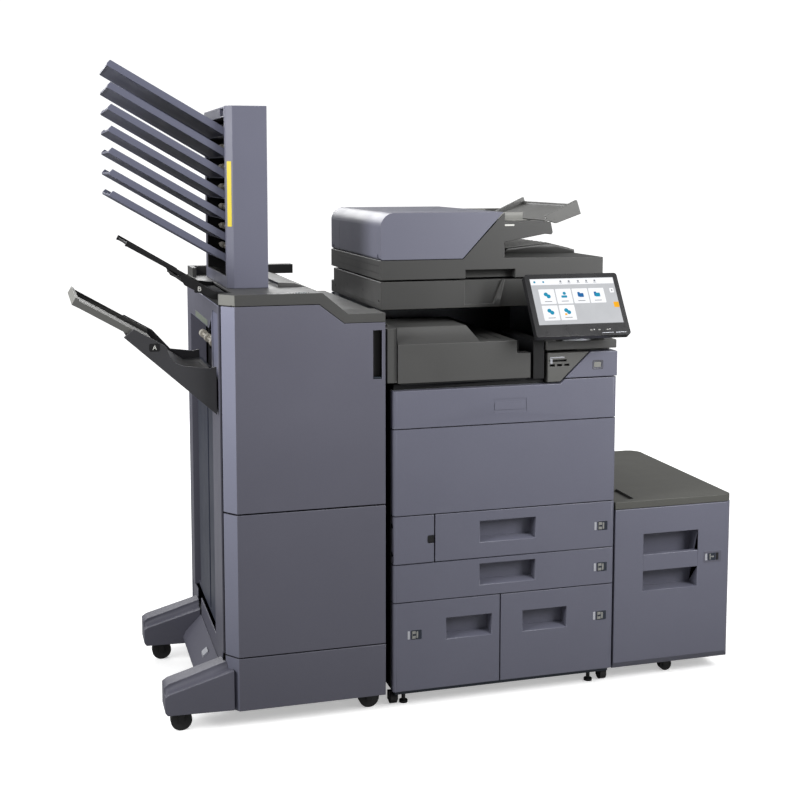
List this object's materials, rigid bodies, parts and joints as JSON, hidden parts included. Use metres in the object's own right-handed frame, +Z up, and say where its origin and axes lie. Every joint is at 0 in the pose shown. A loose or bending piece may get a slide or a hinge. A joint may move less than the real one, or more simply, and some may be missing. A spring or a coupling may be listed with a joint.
{
  "type": "office photocopier",
  "caption": "Floor-standing office photocopier with document processor, tilting touch panel, paper drawers, stapling finisher, mailbox bins and side paper feeder.",
  "frame": {"origin": "on the floor under the middle of the whole machine's bounding box", "axes": "+Z up, +Y from the front doors to the back, +X to the right, towards the side feeder"},
  "size_m": [1.706, 0.743, 1.6189],
  "materials": {
    "body_panel": "fine textured moulded plastic",
    "dark_panel": "fine textured moulded plastic",
    "black_plastic": "satin",
    "pale_plastic": "satin",
    "toner_shell": "satin",
    "steel": "zinc-plated sheet",
    "roller_rubber": "matt",
    "wheel_rubber": "matt",
    "glass": "polished",
    "screen": "clear cover over the display"
  },
  "bodies": {
    "machine": {"base_pan": "black_plastic", "main_frame": "steel", "left_cover": "body_panel", "right_cover": "body_panel", "rear_cover": "body_panel", "waste_toner_box": "pale_plastic", "toner_bottles": "toner_shell", "imaging_units": "black_plastic", "transfer_belt": "black_plastic", "fuser": "steel", "bridge_cover": "dark_panel", "output_shelf": "black_plastic", "power_column": "body_panel", "media_slots": "dark_panel", "panel_bracket": "dark_panel", "scanner_housing": "dark_panel", "platen_glass": "glass", "scanner_rods": "steel", "dp_hinges": "steel", "finisher_frame": "steel", "finisher_side_cover": "body_panel", "finisher_lower_covers": "body_panel", "finisher_top_cover": "dark_panel", "outrigger_feet": "body_panel", "tray_b": "dark_panel", "mailbox_tower": "body_panel", "mailbox_bins": "body_panel", "mailbox_rollers": "roller_rubber", "feeder_body": "body_panel", "feeder_top": "dark_panel", "caster_brackets": "black_plastic"},
    "front_door": {"front_door": "body_panel"},
    "toner_cover": {"toner_cover": "body_panel"},
    "small_door": {"small_door": "body_panel"},
    "cassette_1": {"cassette_1": "body_panel"},
    "cassette_2": {"cassette_2": "body_panel"},
    "deck_left": {"deck_left": "body_panel"},
    "deck_right": {"deck_right": "body_panel"},
    "feed_roller": {"feed_roller": "roller_rubber"},
    "power_button": {"power_button": "pale_plastic"},
    "touch_panel": {"touch_panel": "black_plastic", "touch_screen": "screen"},
    "panel_key": {"panel_key": "black_plastic"},
    "scan_carriage": {"scan_carriage": "black_plastic"},
    "dp_lid": {"dp_base": "dark_panel"},
    "dp_cover": {"dp_cover": "body_panel"},
    "dp_feed_tray": {"dp_feed_tray": "dark_panel"},
    "front_guide": {"front_guide": "pale_plastic"},
    "rear_guide": {"rear_guide": "pale_plastic"},
    "finisher_door": {"finisher_door": "body_panel"},
    "tray_a": {"tray_a": "dark_panel"},
    "tray_a_extension": {"tray_a_extension": "dark_panel"},
    "tray_b_extension": {"tray_b_extension": "dark_panel"},
    "eject_roller": {"eject_roller": "roller_rubber"},
    "feeder_drawer": {"feeder_drawer": "body_panel"},
    "main_front_wheels": {"main_front_wheels": "wheel_rubber"},
    "main_rear_wheels": {"main_rear_wheels": "wheel_rubber"},
    "finisher_outer_wheels": {"finisher_outer_wheels": "wheel_rubber"},
    "finisher_inner_wheels": {"finisher_inner_wheels": "wheel_rubber"},
    "feeder_wheels": {"feeder_wheels": "wheel_rubber"}
  },
  "joints": [
    {"name": "front_door_hinge", "type": "hinge", "parent": "machine", "child": "front_door", "pos_m": [0.206, -0.2895, 0.5075], "axis": [1, 0, 0], "range_deg": [0, 90]},
    {"name": "toner_cover_hinge", "type": "hinge", "parent": "machine", "child": "toner_cover", "pos_m": [0.206, -0.2895, 0.7275], "axis": [1, 0, 0], "range_deg": [0, 80]},
    {"name": "small_door_hinge", "type": "hinge", "parent": "machine", "child": "small_door", "pos_m": [-0.084, -0.2855, 0.435], "axis": [0, 0, -1], "range_deg": [0, 85]},
    {"name": "cassette_1_slide", "type": "slide", "parent": "machine", "child": "cassette_1", "axis": [0, -1, 0], "range_m": [0, 0.45]},
    {"name": "cassette_2_slide", "type": "slide", "parent": "machine", "child": "cassette_2", "axis": [0, -1, 0], "range_m": [0, 0.45]},
    {"name": "deck_left_slide", "type": "slide", "parent": "machine", "child": "deck_left", "axis": [0, -1, 0], "range_m": [0, 0.45]},
    {"name": "deck_right_slide", "type": "slide", "parent": "machine", "child": "deck_right", "axis": [0, -1, 0], "range_m": [0, 0.45]},
    {"name": "feed_roller_spin", "type": "hinge", "parent": "machine", "child": "feed_roller", "pos_m": [0.465, 0.0335, 0.528], "axis": [0, 1, 0], "continuous": true},
    {"name": "power_button_press", "type": "slide", "parent": "machine", "child": "power_button", "axis": [0, 1, 0], "range_m": [0, 0.002], "stiffness_N_per_m": 300},
    {"name": "touch_panel_tilt", "type": "hinge", "parent": "machine", "child": "touch_panel", "pos_m": [0.38, -0.3065, 0.985], "axis": [1, 0, 0], "range_deg": [-25, 12]},
    {"name": "panel_key_press", "type": "slide", "parent": "touch_panel", "child": "panel_key", "axis": [0, 0.8434, -0.5373], "range_m": [0, 0.001], "stiffness_N_per_m": 300},
    {"name": "scan_carriage_slide", "type": "slide", "parent": "machine", "child": "scan_carriage", "axis": [1, 0, 0], "range_m": [0, 0.44]},
    {"name": "dp_lid_hinge", "type": "hinge", "parent": "machine", "child": "dp_lid", "pos_m": [0.21, 0.3555, 1.086], "axis": [-1, 0, 0], "range_deg": [0, 60]},
    {"name": "dp_cover_hinge", "type": "hinge", "parent": "dp_lid", "child": "dp_cover", "pos_m": [-0.086, 0.0925, 1.138], "axis": [0, -1, 0], "range_deg": [0, 60]},
    {"name": "dp_feed_tray_hinge", "type": "hinge", "parent": "dp_lid", "child": "dp_feed_tray", "pos_m": [0.357, 0.0535, 1.206], "axis": [0, -1, 0], "range_deg": [-3, 55]},
    {"name": "front_guide_slide", "type": "slide", "parent": "dp_lid", "child": "front_guide", "axis": [0, 1, 0], "range_m": [0, 0.09]},
    {"name": "rear_guide_slide", "type": "slide", "parent": "dp_lid", "child": "rear_guide", "axis": [0, -1, 0], "range_m": [0, 0.09]},
    {"name": "finisher_door_hinge", "type": "hinge", "parent": "machine", "child": "finisher_door", "pos_m": [-0.499, -0.2585, 0.78], "axis": [0, 0, -1], "range_deg": [0, 95]},
    {"name": "tray_a_lift", "type": "slide", "parent": "machine", "child": "tray_a", "axis": [0, 0, -1], "range_m": [0, 0.55]},
    {"name": "tray_a_extension_slide", "type": "slide", "parent": "tray_a", "child": "tray_a_extension", "axis": [0.8616, 0, -0.5075], "range_m": [0, 0.09]},
    {"name": "tray_b_extension_slide", "type": "slide", "parent": "machine", "child": "tray_b_extension", "axis": [0.8616, 0, -0.5075], "range_m": [0, 0.04]},
    {"name": "eject_roller_spin", "type": "hinge", "parent": "machine", "child": "eject_roller", "pos_m": [-0.487, 0.0735, 0.905], "axis": [0, 1, 0], "continuous": true},
    {"name": "feeder_drawer_slide", "type": "slide", "parent": "machine", "child": "feeder_drawer", "axis": [0, -1, 0], "range_m": [0, 0.42]},
    {"name": "main_front_wheels_spin", "type": "hinge", "parent": "machine", "child": "main_front_wheels", "pos_m": [0.206, -0.2515, 0.015], "axis": [1, 0, 0], "continuous": true},
    {"name": "main_rear_wheels_spin", "type": "hinge", "parent": "machine", "child": "main_rear_wheels", "pos_m": [0.206, 0.3135, 0.015], "axis": [1, 0, 0], "continuous": true},
    {"name": "finisher_outer_wheels_spin", "type": "hinge", "parent": "machine", "child": "finisher_outer_wheels", "pos_m": [-0.621, -0.0185, 0.026], "axis": [0, 1, 0], "continuous": true},
    {"name": "finisher_inner_wheels_spin", "type": "hinge", "parent": "machine", "child": "finisher_inner_wheels", "pos_m": [-0.149, 0.0125, 0.026], "axis": [0, 1, 0], "continuous": true},
    {"name": "feeder_wheels_spin", "type": "hinge", "parent": "machine", "child": "feeder_wheels", "pos_m": [0.688, -0.0095, 0.017], "axis": [0, 1, 0], "continuous": true}
  ],
  "couplings": [
    {"joint": "rear_guide_slide", "follows": "front_guide_slide", "ratio": 1}
  ]
}
